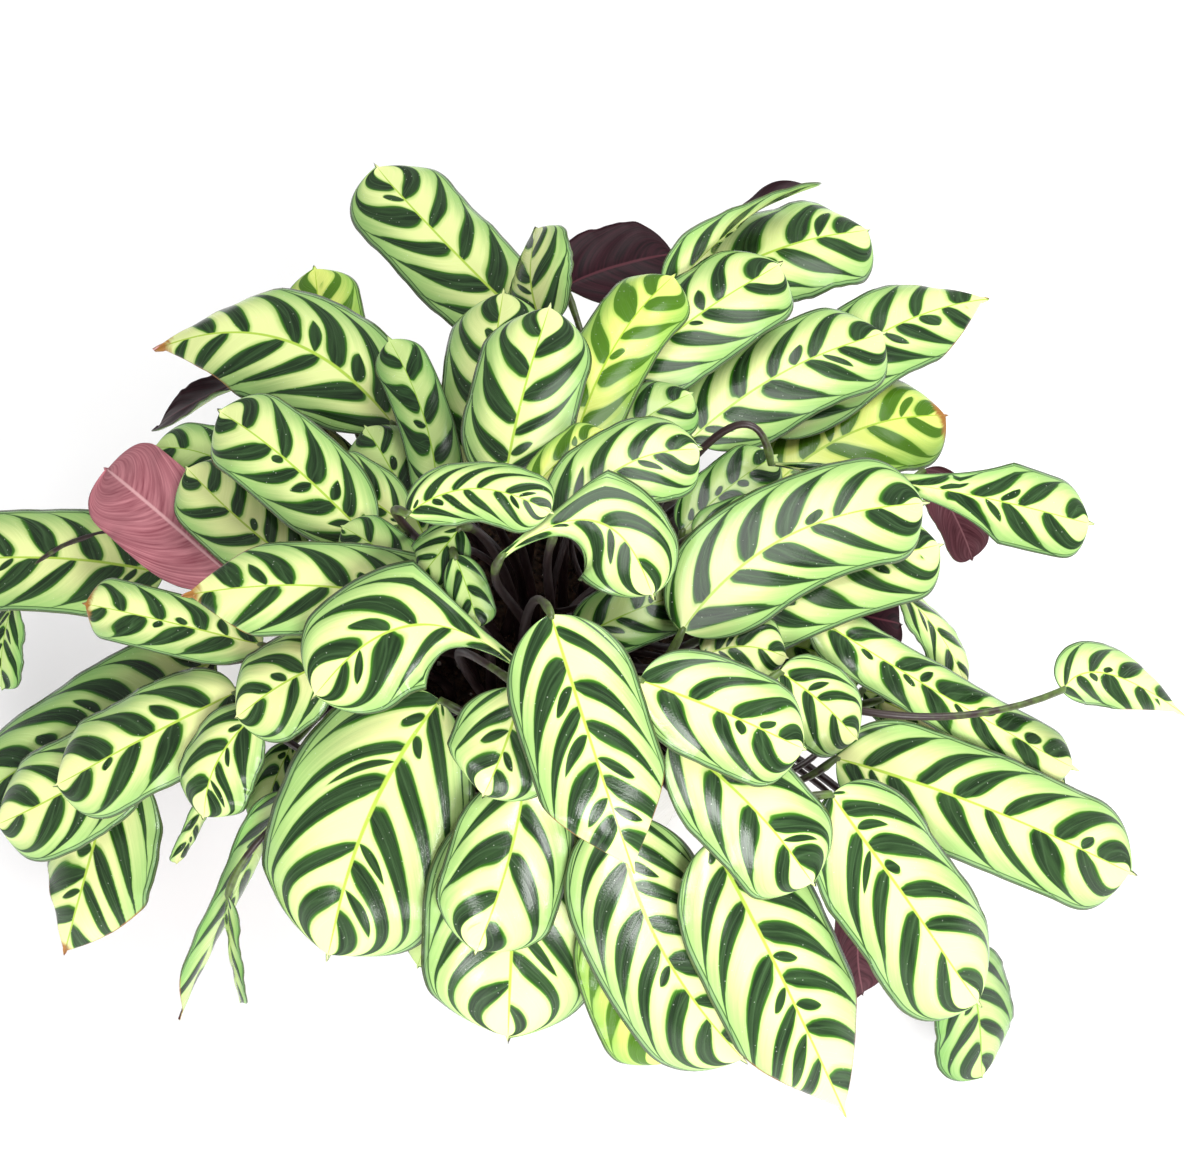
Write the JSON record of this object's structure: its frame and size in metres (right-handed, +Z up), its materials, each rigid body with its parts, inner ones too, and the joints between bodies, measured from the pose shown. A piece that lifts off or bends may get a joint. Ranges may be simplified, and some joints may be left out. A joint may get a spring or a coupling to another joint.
{
  "type": "potted prayer plant with fishbone striped leaves",
  "caption": "Bushy potted prayer plant: oblong pale green leaves with dark feathered stripes and maroon undersides arch on slim stalks from soil in a plain round pot.",
  "frame": {"origin": "centre of the pot's flat underside", "axes": "+Z up the pot's axis, -Y towards the front of the plant, +X to its right seen from the front"},
  "size_m": [0.4747, 0.3635, 0.2752],
  "materials": {
    "leaf_striped": "satin",
    "leaf_shaded": "satin",
    "leaf_olive": "satin",
    "leaf_maroon": "satin",
    "potting_soil": "matte",
    "pot_glaze": "gloss"
  },
  "bodies": {
    "root": {"leaf_back_bright": "leaf_striped", "leaf_back_far": "leaf_striped", "leaf_back_folded": "leaf_striped", "leaf_back_left_dark": "leaf_shaded", "leaf_back_left_far": "leaf_striped", "leaf_back_left_olive": "leaf_olive", "leaf_back_narrow": "leaf_olive", "leaf_back_right": "leaf_striped", "leaf_back_right_far": "leaf_striped", "leaf_back_right_long": "leaf_striped", "leaf_back_right_middle": "leaf_striped", "leaf_back_second": "leaf_striped", "leaf_back_under": "leaf_maroon", "leaf_back_upright": "leaf_striped", "leaf_front_bright": "leaf_striped", "leaf_front_left_edge_on": "leaf_shaded", "leaf_front_left_largest": "leaf_striped", "leaf_front_left_low": "leaf_striped", "leaf_front_left_pointing": "leaf_striped", "leaf_front_low": "leaf_striped", "leaf_front_lowest": "leaf_striped", "leaf_front_middle_dark": "leaf_shaded", "leaf_front_right": "leaf_striped", "leaf_front_right_glossy": "leaf_striped", "leaf_front_right_olive": "leaf_olive", "leaf_front_right_wedge": "leaf_striped", "leaf_front_upper": "leaf_striped", "leaf_left_brown_tip": "leaf_striped", "leaf_left_dark": "leaf_shaded", "leaf_left_far": "leaf_striped", "leaf_left_inner": "leaf_striped", "leaf_left_large": "leaf_shaded", "leaf_left_lower": "leaf_striped", "leaf_left_mauve": "leaf_maroon", "leaf_left_narrow": "leaf_striped", "leaf_left_upper": "leaf_striped", "leaf_left_upper_inner": "leaf_striped", "leaf_left_wedge": "leaf_striped", "leaf_middle_back": "leaf_striped", "leaf_middle_cut": "leaf_shaded", "leaf_middle_front": "leaf_striped", "leaf_middle_left": "leaf_striped", "leaf_middle_right": "leaf_striped", "leaf_middle_right_low": "leaf_striped", "leaf_middle_right_striped": "leaf_shaded", "leaf_middle_top": "leaf_striped", "leaf_right_back_yellow": "leaf_olive", "leaf_right_behind": "leaf_striped", "leaf_right_edge_on": "leaf_striped", "leaf_right_folded": "leaf_striped", "leaf_right_front_hanging": "leaf_shaded", "leaf_right_front_wavy": "leaf_striped", "leaf_right_inner_curled": "leaf_striped", "leaf_right_lower": "leaf_striped", "leaf_right_second": "leaf_striped", "leaf_right_tip": "leaf_striped", "leaf_right_upper": "leaf_striped", "pot": "pot_glaze", "soil": "potting_soil"}
  },
  "joints": []
}
